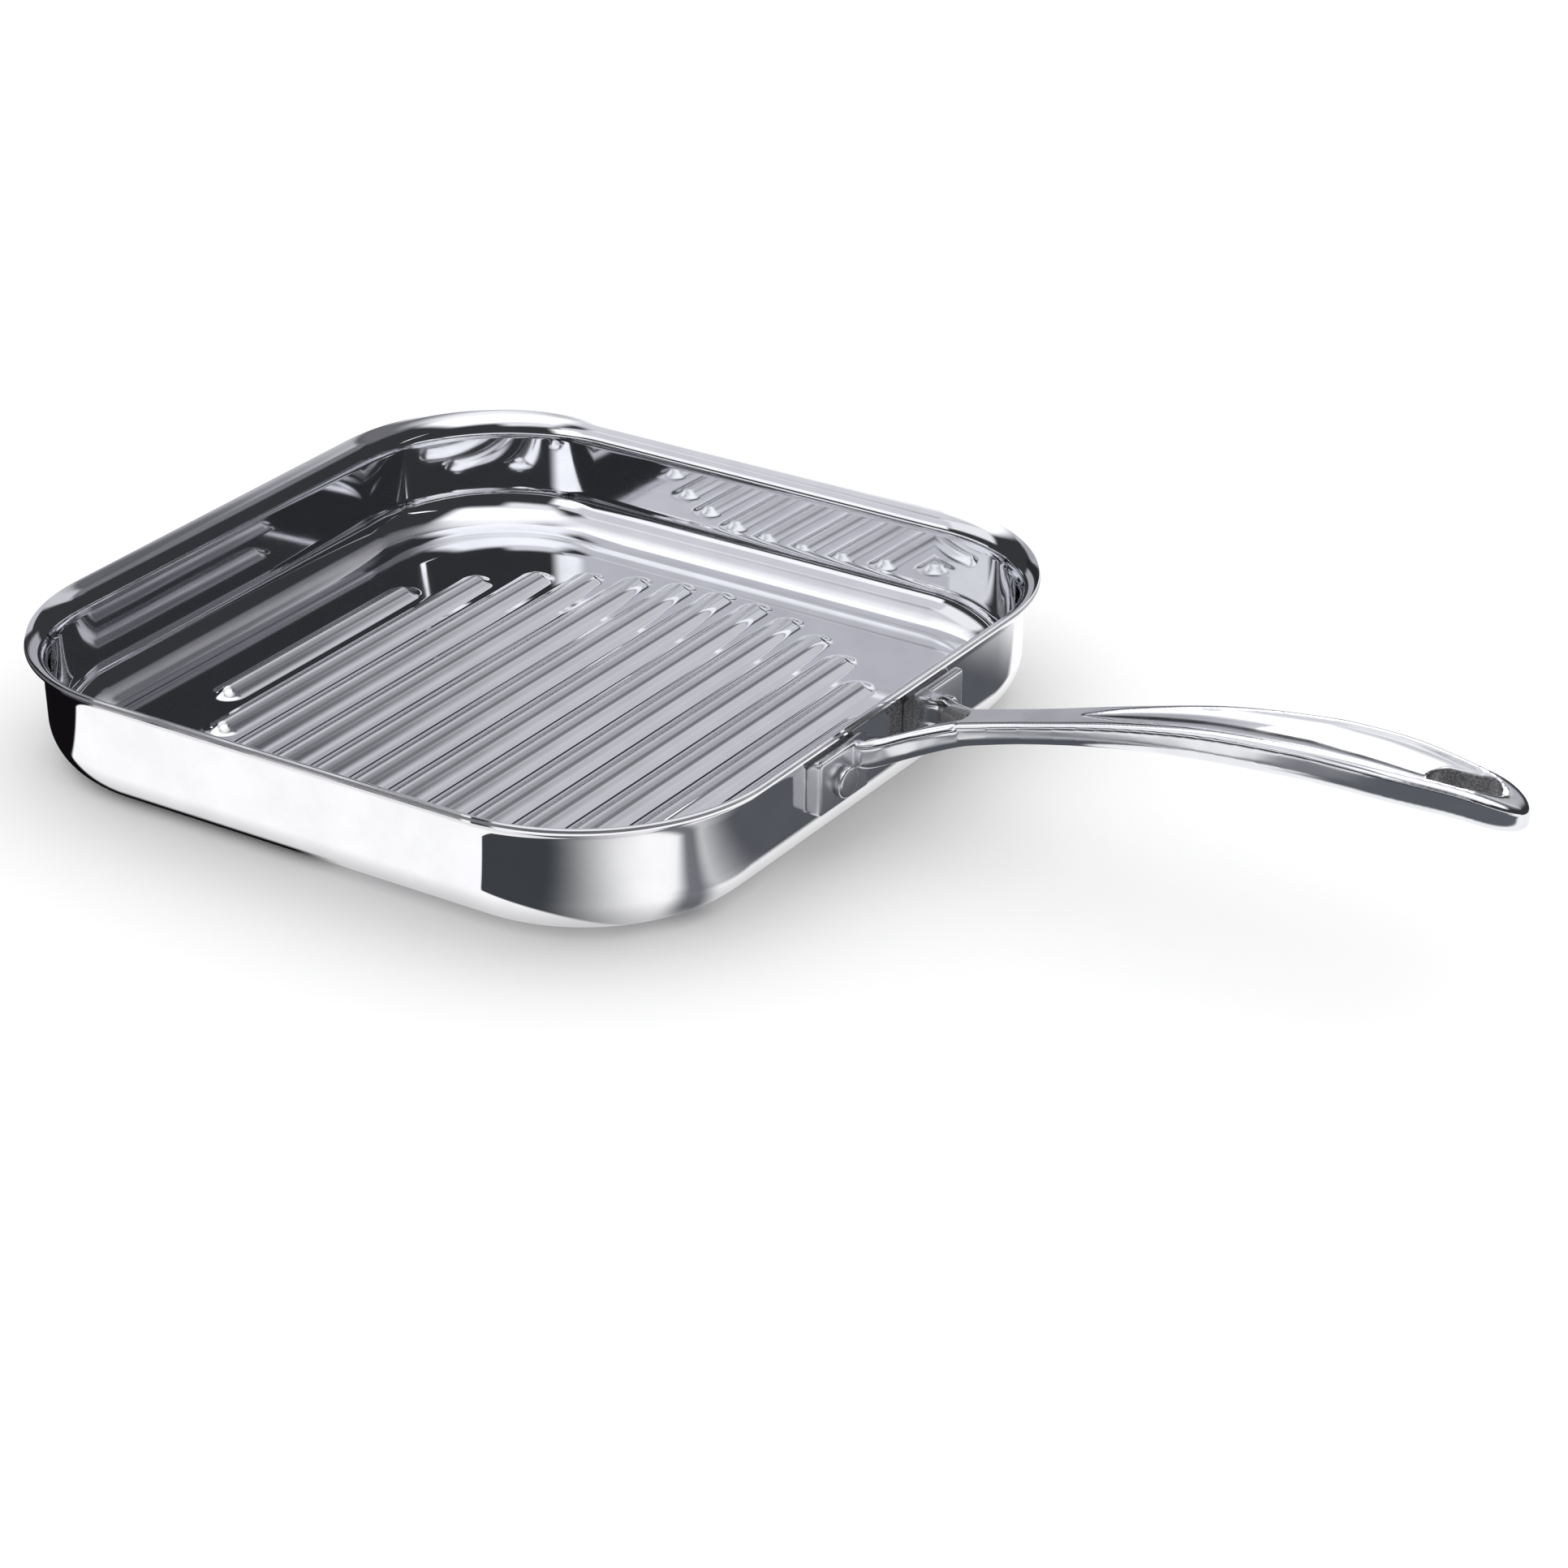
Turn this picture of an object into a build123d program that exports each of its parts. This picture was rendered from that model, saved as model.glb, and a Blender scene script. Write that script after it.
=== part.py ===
"""Square grill pan of three-ply stainless steel with a cast fork handle.

Millimetres. The origin is the middle of the base, on the surface that the pan stands on.
+Z is up, and +X points along the handle. The ribs run along Y.
"""
import os
from bisect import bisect
from math import asin, cos, degrees, radians, sin, sqrt, tan

from build123d import *

os.makedirs("parts", exist_ok=True)

# Pan sheet, from the inside out
inner_ply_thickness = 0.6
core_thickness = 0.9
outer_ply_thickness = 0.6

# Pan body, over the outer ply
rim_width = 280.0
rim_corner_radius = 67.0
pan_height = 43.0
lip_flare = 5.5
lip_angle = 75.0
wall_draft = 1.2
bottom_radius = 16.0

# Cooking ribs, measured on the inner face, inside a circle
rib_pitch = 16.2
rib_height = 2.8
rib_width = 7.6
rib_foot_radius = 7.0
rib_field_clearance = 6.4
rib_shortest = 40.0

# Handle pads against the wall
pad_spacing = 56.4
pad_width = 28.6
pad_height = 19.0
pad_thickness = 5.5
pad_base_height = 17.5
pad_corner_radius = 1.6
pad_edge_round = 1.0
pad_lip_clearance = 0.3

# Fork legs
fork_spacing = 38.4
fork_reach = 28.0
fork_rise = 6.9
leg_width = 7.4
leg_height = 9.6

# Grip, from the front of the pads to the tip
handle_reach = 219.6
handle_rise = 34.1
grip_width = 28.0
grip_thickness = 11.6

# Thumb dish in the top of the grip
dish_width = 21.0
dish_depth = 3.2

# Hanging hole
hole_length = 23.0
hole_width = 11.0
hole_from_tip = 21.0

# Rivets
rivet_spacing = 60.0
rivet_height = 26.0
rivet_shank_diameter = 6.0
rivet_shank_clearance = 0.05
rivet_head_diameter = 10.6
rivet_head_height = 3.0
rivet_head_round = 1.0
rivet_inner_head_height = 1.6
rivet_inner_head_round = 0.9

# One overrun for every cut
overrun = 2.0

# Depth of each face of the sheet under the inner face
face_depths = (
    0,
    inner_ply_thickness,
    inner_ply_thickness + core_thickness,
    inner_ply_thickness + core_thickness + outer_ply_thickness,
)
sheet_thickness = face_depths[3]

# Wall section, worked out on its outer face
draft_cos = cos(radians(wall_draft))
draft_sin = sin(radians(wall_draft))
lip_radius = lip_flare / (draft_cos - cos(radians(lip_angle)))
lip_rise = (lip_radius + sheet_thickness) * sin(radians(lip_angle)) - lip_radius * draft_sin
lip_start = pan_height - lip_rise
wall_face = rim_width / 2 - lip_flare
wall_foot = bottom_radius * (1 - draft_sin)
floor_x = wall_face - (lip_start - wall_foot) * tan(radians(wall_draft)) - bottom_radius * draft_cos
corner_x = rim_width / 2 - rim_corner_radius

# Ribs that fit in the circle, which clears the bottom radius
rib_field_radius = floor_x - rib_field_clearance
rib_reach = sqrt(rib_field_radius**2 - rib_shortest**2 / 4)
rib_count = 2 * int(rib_reach / rib_pitch) + 1

# Rib section, the same arcs for each face of the sheet
crest_radius = (rib_width**2 / 4 + rib_height**2) / (2 * rib_height)
crest_level = sheet_thickness + rib_height - crest_radius
foot_angle = degrees(asin((crest_radius - rib_height + rib_foot_radius) / (crest_radius + rib_foot_radius)))
rib_foot = (crest_radius + rib_foot_radius) * cos(radians(foot_angle))

# Outer face of the wall on the handle's side, with its up direction along the wall
rivet_x = wall_face - (lip_start - rivet_height) * tan(radians(wall_draft))
wall_plane = Plane(
    origin=(rivet_x, 0, rivet_height),
    x_dir=(0, 1, 0),
    z_dir=(draft_cos, 0, -draft_sin),
)
pad_front = wall_face + pad_thickness
pad_top = pad_base_height + pad_height
pad_relief = pad_top - lip_start + pad_lip_clearance


def wall_strip(first, last, side):
    """Section of the wall between two faces of the sheet, on the plane y = side."""
    inner = sheet_thickness - face_depths[first]
    outer = sheet_thickness - face_depths[last]
    bottom_centre = (floor_x, bottom_radius)
    lip_centre = (wall_face + lip_radius * draft_cos, lip_start - lip_radius * draft_sin)
    lip_turn = wall_draft - lip_angle
    with BuildSketch(Plane.XZ.offset(-side)) as strip:
        with BuildLine():
            bottom_in = CenterArc(bottom_centre, bottom_radius - inner, -90, 90 - wall_draft)
            lip_in = CenterArc(lip_centre, lip_radius + inner, 180 - wall_draft, lip_turn)
            lip_out = CenterArc(lip_centre, lip_radius + outer, 180 - wall_draft, lip_turn)
            bottom_out = CenterArc(bottom_centre, bottom_radius - outer, -90, 90 - wall_draft)
            Line(bottom_in @ 1, lip_in @ 0)
            Line(lip_in @ 1, lip_out @ 1)
            Line(lip_out @ 0, bottom_out @ 1)
            Line(bottom_out @ 0, bottom_in @ 0)
        make_face()
    return strip.sketch


def wall_ring(first, last):
    """The wall, its bottom radius and its lip between two faces of the sheet."""
    with BuildPart() as quarter:
        extrude(wall_strip(first, last, 0), amount=corner_x, both=True)
        corner_axis = Axis((corner_x, corner_x, 0), (0, 0, 1))
        revolve(wall_strip(first, last, corner_x), axis=corner_axis, revolution_arc=90)
    with BuildPart() as ring:
        with PolarLocations(0, 4):
            add(quarter.part)
    return ring.part


def rib_form(face, length):
    """One rib as far as a face of the sheet, standing on the middle of its foot."""
    level = sheet_thickness - face_depths[face]
    crest = crest_radius - face_depths[face]
    foot = rib_foot_radius + face_depths[face]
    straight = length / 2 - rib_foot
    with BuildSketch(Plane.XZ) as half:
        with BuildLine():
            crest_arc = CenterArc((0, crest_level), crest, foot_angle, 90 - foot_angle)
            foot_arc = CenterArc((rib_foot, level + foot), foot, 180 + foot_angle, 90 - foot_angle)
            Polyline(foot_arc @ 1, (rib_foot, -overrun), (0, -overrun), crest_arc @ 1)
        make_face()
    with BuildSketch(Plane.XZ) as section:
        add(half.sketch)
        mirror(about=Plane.YZ)
    with BuildPart() as end:
        revolve(half.sketch, axis=Axis.Z, revolution_arc=180)
    with BuildPart() as rib:
        extrude(section.sketch, amount=straight, both=True)
        with Locations((0, straight, 0), Location((0, -straight, 0), (0, 0, 180))):
            add(end.part)
    return rib.part


def floor_form(face):
    """Everything under one face of the pan's floor, ribs and all."""
    level = sheet_thickness - face_depths[face]
    with BuildPart() as form:
        with BuildSketch(Plane.XY.offset(-overrun)):
            RectangleRounded(2 * floor_x, 2 * floor_x, floor_x - corner_x)
        extrude(amount=level + overrun)
        for index in range(rib_count):
            x = (index - (rib_count - 1) / 2) * rib_pitch
            length = 2 * sqrt(rib_field_radius**2 - x**2)
            with Locations((x, 0, 0)):
                add(rib_form(face, length))
    return form.part


def rivet_tools():
    """Clearance holes for both rivets, along the wall's normal."""
    with BuildPart() as tools:
        with BuildSketch(wall_plane):
            with GridLocations(rivet_spacing, 0, 2, 1):
                Circle(rivet_shank_diameter / 2 + rivet_shank_clearance)
        extrude(amount=pad_thickness + sheet_thickness + overrun, both=True)
    return tools.part


floor_forms = [floor_form(face) for face in range(len(face_depths))]
rivet_cuts = rivet_tools()


def pan_ply(first, last):
    """One ply of the pan between two faces of the sheet."""
    with BuildPart() as ply:
        add(floor_forms[first])
        add(floor_forms[last], mode=Mode.SUBTRACT)
        add(wall_ring(first, last))
        add(rivet_cuts, mode=Mode.SUBTRACT)
    return ply.part


for index, name in enumerate(("pan_inner_ply", "pan_core", "pan_outer_ply")):
    sheet = pan_ply(index, index + 1)
    sheet.label = name
    export_step(sheet, "parts/" + name + ".step")

# Grip stations: share of the reach, then of the rise, the grip's width and its thickness
grip_station_shares = (
    (0.123, 0.196, 0.550, 0.741),
    (0.237, 0.396, 0.543, 0.690),
    (0.382, 0.651, 0.657, 0.784),
    (0.528, 0.865, 0.843, 0.948),
    (0.674, 0.982, 0.975, 1.000),
    (0.747, 1.000, 1.000, 1.000),
    (0.820, 0.991, 0.955, 0.983),
    (0.929, 0.935, 0.690, 0.950),
    (1.000, 0.850, 0.620, 0.930),
)
grip_station_count = 14
grip_top_corner_share = 0.22
grip_bottom_corner_share = 0.42
nose_start_share = 0.929
nose_station_count = 6
nose_last_angle = 82.0

# Leg stations: share of the fork's reach, its spacing, its rise, the leg's width and its height
leg_station_shares = (
    (-0.120, 1.000, -0.010, 1.400, 1.060),
    (0.100, 0.960, 0.030, 1.160, 1.050),
    (0.300, 0.865, 0.220, 1.000, 1.000),
    (0.620, 0.485, 0.580, 1.030, 0.960),
    (1.000, 0.210, 1.000, 1.000, 0.890),
    (1.400, 0.178, 1.400, 0.900, 0.800),
)
leg_corner_share = 0.36

# Dish stations: share of the reach, then of the dish's width and its depth
dish_station_shares = (
    (0.318, 0.080, 0.090),
    (0.382, 0.430, 0.350),
    (0.528, 0.780, 0.750),
    (0.674, 0.960, 0.950),
    (0.820, 0.930, 1.000),
    (0.911, 0.660, 0.900),
    (0.955, 0.330, 0.450),
    (0.970, 0.100, 0.120),
)


def slope_at(spots, values, index):
    """Slope of a table at one of its rows, from the rows beside it."""
    low = max(index - 1, 0)
    high = min(index + 1, len(spots) - 1)
    return (values[high] - values[low]) / (spots[high] - spots[low])


def along(stations, column, share):
    """Smooth value of one column of a station table at a share of the reach."""
    spots = [row[0] for row in stations]
    values = [row[column] for row in stations]
    last = min(max(bisect(spots, share), 1), len(spots) - 1)
    first = last - 1
    step = spots[last] - spots[first]
    t = (share - spots[first]) / step
    rise = (3 * t**2 - 2 * t**3) * (values[last] - values[first])
    out = (t**3 - 2 * t**2 + t) * step * slope_at(spots, values, first)
    back = (t**3 - t**2) * step * slope_at(spots, values, last)
    return values[first] + rise + out + back


def grip_section(share, width_factor, thickness_factor):
    """One section of the grip, with tight top corners and full bottom corners."""
    width = grip_width * along(grip_station_shares, 2, share) * width_factor
    full_thickness = grip_thickness * along(grip_station_shares, 3, share)
    thickness = full_thickness * thickness_factor
    middle = pad_top + handle_rise * along(grip_station_shares, 1, share) - full_thickness / 2
    smaller = min(width, thickness)
    with BuildSketch(Plane.YZ.offset(pad_front + handle_reach * share)) as section:
        with Locations((0, middle)):
            Rectangle(width, thickness)
        fillet(section.vertices().group_by(Axis.Y)[-1], radius=smaller * grip_top_corner_share)
        fillet(section.vertices().group_by(Axis.Y)[0], radius=smaller * grip_bottom_corner_share)
    return section.sketch


grip_start_share = grip_station_shares[0][0]
grip_sections = []
for index in range(grip_station_count):
    share = grip_start_share + (nose_start_share - grip_start_share) * index / (grip_station_count - 1)
    grip_sections.append(grip_section(share, 1, 1))
for index in range(1, nose_station_count + 1):
    angle = radians(nose_last_angle * index / nose_station_count)
    share = nose_start_share + (1 - nose_start_share) * sin(angle) / sin(radians(nose_last_angle))
    grip_sections.append(grip_section(share, cos(angle), sqrt(cos(angle))))

# Pads, flat against the wall and relieved under the lip
with BuildPart() as pads:
    with BuildSketch(wall_plane):
        with Locations((0, pad_base_height + pad_height / 2 - rivet_height)):
            with GridLocations(pad_spacing, 0, 2, 1):
                RectangleRounded(pad_width, pad_height, pad_corner_radius)
    extrude(amount=pad_thickness)
    fillet(pads.faces().group_by(Axis.X)[-1].edges(), radius=pad_edge_round)
    with BuildSketch(Plane.XZ):
        with BuildLine():
            Polyline(
                (wall_face, pad_top - pad_relief),
                (wall_face + pad_relief, pad_top),
                (wall_face + pad_relief, pad_top + overrun),
                (wall_face - overrun, pad_top + overrun),
                (wall_face - overrun, pad_top - pad_relief),
                close=True,
            )
        make_face()
    extrude(amount=pad_spacing / 2 + pad_width, both=True, mode=Mode.SUBTRACT)

# Handle, cast in one piece
with BuildPart() as handle:
    loft(grip_sections)
    for hand in (-1, 1):
        for reach_share, side_share, rise_share, width_share, height_share in leg_station_shares:
            height = leg_height * height_share
            width = leg_width * width_share
            with BuildSketch(Plane.YZ.offset(pad_front + fork_reach * reach_share)):
                centre = (hand * fork_spacing / 2 * side_share, pad_top + fork_rise * rise_share - height / 2)
                with Locations(centre):
                    RectangleRounded(width, height, leg_width * leg_corner_share)
        loft()
    add(pads.part)
    for reach_share, width_share, depth_share in dish_station_shares:
        with BuildSketch(Plane.YZ.offset(pad_front + handle_reach * reach_share)):
            with Locations((0, pad_top + handle_rise * along(grip_station_shares, 1, reach_share))):
                Ellipse(dish_width / 2 * width_share, dish_depth * depth_share)
    loft(mode=Mode.SUBTRACT)
    with BuildSketch(Plane.XY):
        with Locations((pad_front + handle_reach - hole_from_tip, 0)):
            SlotOverall(hole_length, hole_width)
    extrude(amount=pad_top + handle_rise + overrun, mode=Mode.SUBTRACT)
    add(rivet_cuts, mode=Mode.SUBTRACT)
handle.part.label = "handle"
export_step(handle.part, "parts/handle.step")

# Rivets through the pads and the wall, with a low domed head inside the pan
with BuildPart() as handle_rivets:
    with BuildSketch(wall_plane.offset(-sheet_thickness)):
        with GridLocations(rivet_spacing, 0, 2, 1):
            Circle(rivet_shank_diameter / 2)
    extrude(amount=sheet_thickness + pad_thickness)
    with BuildSketch(wall_plane.offset(pad_thickness)):
        with GridLocations(rivet_spacing, 0, 2, 1):
            Circle(rivet_head_diameter / 2)
    extrude(amount=rivet_head_height)
    fillet(handle_rivets.edges().group_by(Axis.X)[-1], radius=rivet_head_round)
    with BuildSketch(wall_plane.offset(-sheet_thickness)):
        with GridLocations(rivet_spacing, 0, 2, 1):
            Circle(rivet_head_diameter / 2)
    extrude(amount=-rivet_inner_head_height)
    fillet(handle_rivets.edges().group_by(Axis.X)[0], radius=rivet_inner_head_round)
handle_rivets.part.label = "handle_rivets"
export_step(handle_rivets.part, "parts/handle_rivets.step")
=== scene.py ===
"""Looks of a square grill pan: a clad sheet with pressed ribs and a cast fork handle.

Metres, +Z up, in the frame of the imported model. Sizes of the pan are written in millimetres
and turned into metres where a mesh is made.
"""

from bisect import bisect
from math import asin, cos, pi, radians, sin, sqrt, tan

import bmesh
import bpy
from mathutils import Matrix, Vector
from mathutils.geometry import delaunay_2d_cdt


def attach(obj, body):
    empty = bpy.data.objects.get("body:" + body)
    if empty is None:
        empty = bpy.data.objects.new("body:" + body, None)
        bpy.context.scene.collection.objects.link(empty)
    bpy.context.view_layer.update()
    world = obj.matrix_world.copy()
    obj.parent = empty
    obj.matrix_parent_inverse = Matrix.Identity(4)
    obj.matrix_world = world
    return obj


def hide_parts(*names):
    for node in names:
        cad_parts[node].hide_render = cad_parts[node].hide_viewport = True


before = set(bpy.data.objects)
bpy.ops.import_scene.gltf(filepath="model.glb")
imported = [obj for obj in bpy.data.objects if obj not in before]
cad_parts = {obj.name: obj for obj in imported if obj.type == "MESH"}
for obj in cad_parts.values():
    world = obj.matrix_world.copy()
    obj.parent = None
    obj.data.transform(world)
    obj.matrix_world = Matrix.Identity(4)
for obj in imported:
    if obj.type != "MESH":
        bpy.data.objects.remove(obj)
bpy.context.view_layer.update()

MM = 0.001

# Pan sheet, from the inside out, and the depth of each of its faces under the inner face
face_depths = (0.0, 0.6, 1.5, 2.1)
sheet_thickness = face_depths[3]

# Pan body, over the outer face
rim_width = 280.0
rim_corner_radius = 67.0
pan_height = 43.0
lip_flare = 5.5
lip_angle = 75.0
wall_draft = 1.2
bottom_radius = 16.0

# Cooking ribs
rib_count = 13
rib_pitch = 16.2
rib_height = 2.8
rib_width = 7.6
rib_foot_radius = 7.0
rib_field_clearance = 6.4

# Handle
pad_spacing = 56.4
pad_width = 28.6
pad_height = 19.0
pad_thickness = 5.5
pad_base_height = 17.5
pad_corner_radius = 1.6
pad_edge_round = 1.0
pad_lip_clearance = 0.3
fork_spacing = 38.4
fork_reach = 28.0
fork_rise = 6.9
leg_width = 7.4
leg_height = 9.6
handle_reach = 219.6
handle_rise = 34.1
grip_width = 28.0
grip_thickness = 11.6
dish_width = 21.0
dish_depth = 3.2
hole_length = 23.0
hole_width = 11.0
hole_from_tip = 21.0

# Rivets
rivet_spacing = 60.0
rivet_height = 26.0
rivet_shank_diameter = 6.0
rivet_head_diameter = 10.6
rivet_head_height = 3.0
rivet_head_round = 1.0
rivet_inner_head_height = 1.6
rivet_inner_head_round = 0.9

# Wall, ribs and pads, worked out as in the model
draft_cos = cos(radians(wall_draft))
draft_sin = sin(radians(wall_draft))
lip_radius = lip_flare / (draft_cos - cos(radians(lip_angle)))
lip_rise = (lip_radius + sheet_thickness) * sin(radians(lip_angle)) - lip_radius * draft_sin
lip_start = pan_height - lip_rise
wall_face = rim_width / 2 - lip_flare
wall_foot = bottom_radius * (1 - draft_sin)
floor_x = wall_face - (lip_start - wall_foot) * tan(radians(wall_draft)) - bottom_radius * draft_cos
corner_x = rim_width / 2 - rim_corner_radius
rib_field_radius = floor_x - rib_field_clearance
crest_radius = (rib_width**2 / 4 + rib_height**2) / (2 * rib_height)
crest_level = sheet_thickness + rib_height - crest_radius
foot_angle = asin((crest_radius - rib_height + rib_foot_radius) / (crest_radius + rib_foot_radius))
rib_foot = (crest_radius + rib_foot_radius) * cos(foot_angle)
pad_front = wall_face + pad_thickness
pad_top = pad_base_height + pad_height
pad_relief = pad_top - lip_start + pad_lip_clearance
rivet_x = wall_face - (lip_start - rivet_height) * tan(radians(wall_draft))

# Grip stations: share of the reach, then of the rise, the grip's width and its thickness
grip_station_shares = (
    (0.123, 0.196, 0.550, 0.741),
    (0.237, 0.396, 0.543, 0.690),
    (0.382, 0.651, 0.657, 0.784),
    (0.528, 0.865, 0.843, 0.948),
    (0.674, 0.982, 0.975, 1.000),
    (0.747, 1.000, 1.000, 1.000),
    (0.820, 0.991, 0.955, 0.983),
    (0.929, 0.935, 0.690, 0.950),
    (1.000, 0.850, 0.620, 0.930),
)
grip_top_corner_share = 0.22
grip_bottom_corner_share = 0.42
nose_start_share = 0.929
nose_last_angle = 82.0

# Leg stations: share of the fork's reach, its spacing, its rise, the leg's width and its height
leg_station_shares = (
    (-0.120, 1.000, -0.010, 1.400, 1.060),
    (0.100, 0.960, 0.030, 1.160, 1.050),
    (0.300, 0.865, 0.220, 1.000, 1.000),
    (0.620, 0.485, 0.580, 1.030, 0.960),
    (1.000, 0.210, 1.000, 1.000, 0.890),
    (1.400, 0.178, 1.400, 0.900, 0.800),
)
leg_corner_share = 0.36

# Dish stations: share of the reach, then of the dish's width and its depth
dish_station_shares = (
    (0.318, 0.080, 0.090),
    (0.382, 0.430, 0.350),
    (0.528, 0.780, 0.750),
    (0.674, 0.960, 0.950),
    (0.820, 0.930, 1.000),
    (0.911, 0.660, 0.900),
    (0.955, 0.330, 0.450),
    (0.970, 0.100, 0.120),
)

# Mesh fineness
bottom_steps = 28
wall_steps = 4
lip_steps = 18
side_steps = 10
corner_steps = 56
rib_side_steps = 8
rib_end_steps = 24
rib_foot_steps = 12
rib_crest_steps = 12
merge_distance = 1e-4
join_tolerance = 1e-5
grip_steps = 120
nose_steps = 16
grip_top_steps = 14
round_steps = 8
leg_steps = 40
leg_top_steps = 2
pad_top_steps = 4
handle_voxel = 0.42
handle_smooth_steps = 10
handle_smooth_share = 0.5
rivet_steps = 64
overrun = 2.0


# Small helpers for meshes
def arc(centre, radius, start, end, steps, facing):
    """Points on an arc in the section plane, with normals away from its centre or towards it."""
    points = []
    for index in range(steps + 1):
        angle = start + (end - start) * index / steps
        ca, sa = cos(angle), sin(angle)
        points.append(((centre[0] + radius * ca, centre[1] + radius * sa), (facing * ca, facing * sa)))
    return points


def new_object(name, bm):
    """Makes an object from a bmesh in millimetres."""
    bmesh.ops.scale(bm, vec=(MM, MM, MM), verts=bm.verts)
    mesh = bpy.data.meshes.new(name)
    bm.to_mesh(mesh)
    bm.free()
    mesh.shade_smooth()
    piece = bpy.data.objects.new(name, mesh)
    bpy.context.scene.collection.objects.link(piece)
    return piece


def finish_piece(piece, slot_name, material, *nodes):
    """Gives a piece its material and body and hides the CAD nodes that it stands for; its slot name is
    not used.
    """
    piece.data.materials.clear()
    piece.data.materials.append(material)
    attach(piece, "root")
    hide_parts(*nodes)


# The clad sheet
def rim_stations():
    """Round the pan: centre of curvature and outward direction of each station."""
    stations = []
    for quarter in range(4):
        turn = quarter * pi / 2
        for index in range(side_steps):
            along_side = corner_x * (2 * index / side_steps - 1)
            stations.append((turn, corner_x, along_side, 0.0))
        for index in range(corner_steps):
            stations.append((turn, corner_x, corner_x, pi / 2 * index / corner_steps))
    placed = []
    for turn, x, y, angle in stations:
        ct, st = cos(turn), sin(turn)
        centre = (x * ct - y * st, x * st + y * ct)
        placed.append((centre, (cos(turn + angle), sin(turn + angle))))
    return placed


def wall_section(face):
    """Section of one face of the sheet from the flat floor to the lip, with normals into the pan."""
    rest = sheet_thickness - face_depths[face]
    bottom_centre = (floor_x, bottom_radius)
    lip_centre = (wall_face + lip_radius * draft_cos, lip_start - lip_radius * draft_sin)
    draft = radians(wall_draft)
    bottom = arc(bottom_centre, bottom_radius - rest, -pi / 2, -draft, bottom_steps, -1)
    lip = arc(lip_centre, lip_radius + rest, pi - draft, pi - radians(lip_angle), lip_steps, 1)
    (x0, z0), normal = bottom[-1]
    (x1, z1), _ = lip[0]
    wall = []
    for index in range(1, wall_steps):
        share = index / wall_steps
        wall.append(((x0 + (x1 - x0) * share, z0 + (z1 - z0) * share), normal))
    return bottom + wall + lip


def rib_section(face):
    """Half section of one rib on one face of the sheet, from its foot to its crest."""
    level = sheet_thickness - face_depths[face]
    foot = rib_foot_radius + face_depths[face]
    crest = crest_radius - face_depths[face]
    foot_arc = arc((rib_foot, level + foot), foot, -pi / 2, -pi + foot_angle, rib_foot_steps, -1)
    crest_arc = arc((0, crest_level), crest, foot_angle, pi / 2, rib_crest_steps, 1)
    return foot_arc + crest_arc[1:]


def rib_loop(x, straight, radius):
    """Outline of one rib at a distance from its middle line, with outward directions."""
    loop = []
    for side in (1, -1):
        for index in range(rib_side_steps):
            y = side * straight * (2 * index / rib_side_steps - 1)
            loop.append(((x + side * radius, y), (side, 0)))
        for index in range(rib_end_steps):
            angle = pi * index / rib_end_steps
            out = (side * cos(angle), side * sin(angle))
            loop.append(((x + radius * out[0], side * straight + radius * out[1]), out))
    return loop


def add_strip(bm, lower, upper, flip):
    """Quads between two closed loops of vertices."""
    count = len(lower)
    for index in range(count):
        after = (index + 1) % count
        corners = [lower[index], lower[after], upper[after], upper[index]]
        if len(set(corners)) < 4:
            continue
        bm.faces.new(corners[::-1] if flip else corners)


def new_vertex(bm, layer, place, normal, flip):
    """A vertex that keeps its exact normal, turned over on the sheet's far side."""
    vertex = bm.verts.new(place)
    vertex[layer] = Vector(normal) * (-1 if flip else 1)
    return vertex


def add_wall(bm, layer, face, flip):
    """Bottom radius, wall and lip of one face of the sheet. Returns its first and last loop."""
    stations = rim_stations()
    loops = []
    for (radial, z), (nr, nz) in wall_section(face):
        reach = radial - corner_x
        loop = []
        for (cx, cy), (ux, uy) in stations:
            place = (cx + ux * reach, cy + uy * reach, z)
            loop.append(new_vertex(bm, layer, place, (ux * nr, uy * nr, nz), flip))
        loops.append(loop)
    for lower, upper in zip(loops, loops[1:]):
        add_strip(bm, lower, upper, not flip)
    return loops[0], loops[-1]


def add_ribs(bm, layer, face, flip):
    """The ribs of one face of the sheet. Returns the loops round their feet."""
    feet = []
    for index in range(rib_count):
        x = (index - (rib_count - 1) / 2) * rib_pitch
        straight = sqrt(rib_field_radius**2 - x**2) - rib_foot
        rings = []
        for (radius, z), (nr, nz) in rib_section(face):
            ring = []
            for (px, py), (ox, oy) in rib_loop(x, straight, max(radius, 0.0)):
                ring.append(new_vertex(bm, layer, (px, py, z), (ox * nr, oy * nr, nz), flip))
            rings.append(ring)
        for lower, upper in zip(rings, rings[1:]):
            add_strip(bm, lower, upper, flip)
        feet.append(rings[0])
    return feet


def fill_floor(bm, level, border, feet, flip):
    """The flat floor of one face of the sheet, within its border and round the ribs' feet."""
    flat = []
    edges = []
    owners = []
    for number, loop in enumerate([border] + feet):
        start, count = len(flat), len(loop)
        flat += loop
        owners += [number] * count
        edges += [(start + index, start + (index + 1) % count) for index in range(count)]
    points = [Vector((v.co.x, v.co.y)) for v in flat]
    triangles = delaunay_2d_cdt(points, edges, [], 1, join_tolerance)[2]
    for triangle in triangles:
        under_rib = len({owners[index] for index in triangle}) == 1 and owners[triangle[0]] > 0
        if not under_rib:
            corners = [flat[index] for index in triangle]
            bm.faces.new(corners[::-1] if flip else corners)
    for v in flat:
        v.co.z = level


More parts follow.
